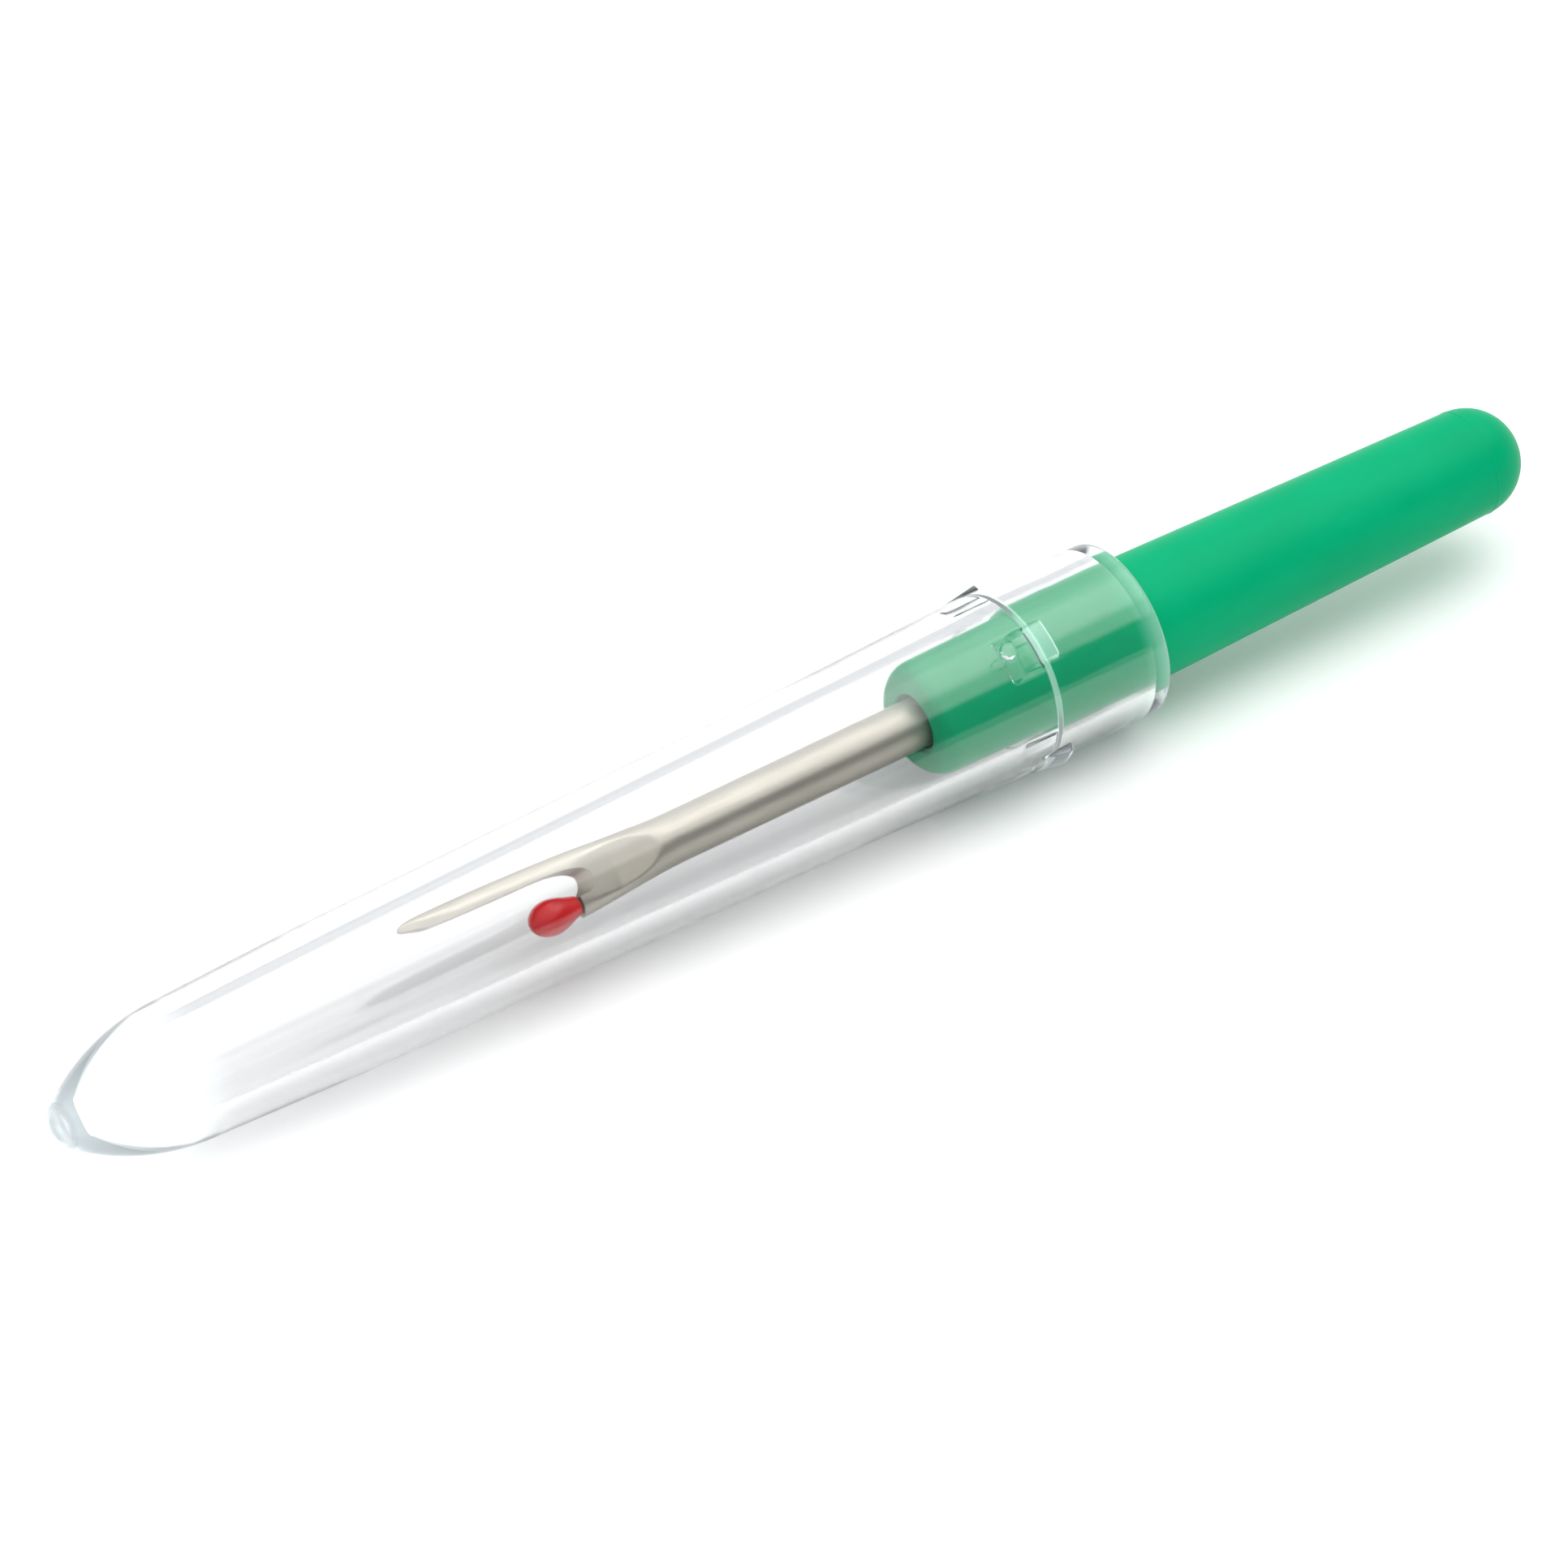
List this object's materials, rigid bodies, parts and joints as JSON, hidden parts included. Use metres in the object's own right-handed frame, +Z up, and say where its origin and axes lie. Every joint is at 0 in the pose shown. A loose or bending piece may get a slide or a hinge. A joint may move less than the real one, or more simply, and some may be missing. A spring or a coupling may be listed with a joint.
{
  "type": "seam ripper",
  "caption": "Small seam ripper: forked steel blade with a ball on its short prong, tapered round plastic handle, and a clear push-on cap with an ogive nose.",
  "frame": {"origin": "on the table, under the centre of the object's box, with the capped tool lying on its side", "axes": "+X along the tool from the cap's tip to the handle's tail (the tool's own axis rises about 1.0 degrees towards the tail as it lies on the cap), +Z up, +Y across"},
  "size_m": [0.0866, 0.0092, 0.0091],
  "materials": {
    "handle_plastic": "moulded green plastic, satin gloss",
    "blade_steel": "nickel-plated steel, satin, with ground cutting bevels",
    "ball_plastic": "glossy red",
    "cap_clear": "clear colourless moulded plastic, polished"
  },
  "bodies": {
    "cap": {"cap": "cap_clear"},
    "grip": {"handle": "handle_plastic", "forked_blade": "blade_steel", "ball_tip": "ball_plastic"}
  },
  "joints": [
    {"name": "cap_slide", "type": "slide", "parent": "cap", "child": "grip", "axis": [0.9998, 0, 0.0174], "range_m": [0, 0.05]}
  ]
}
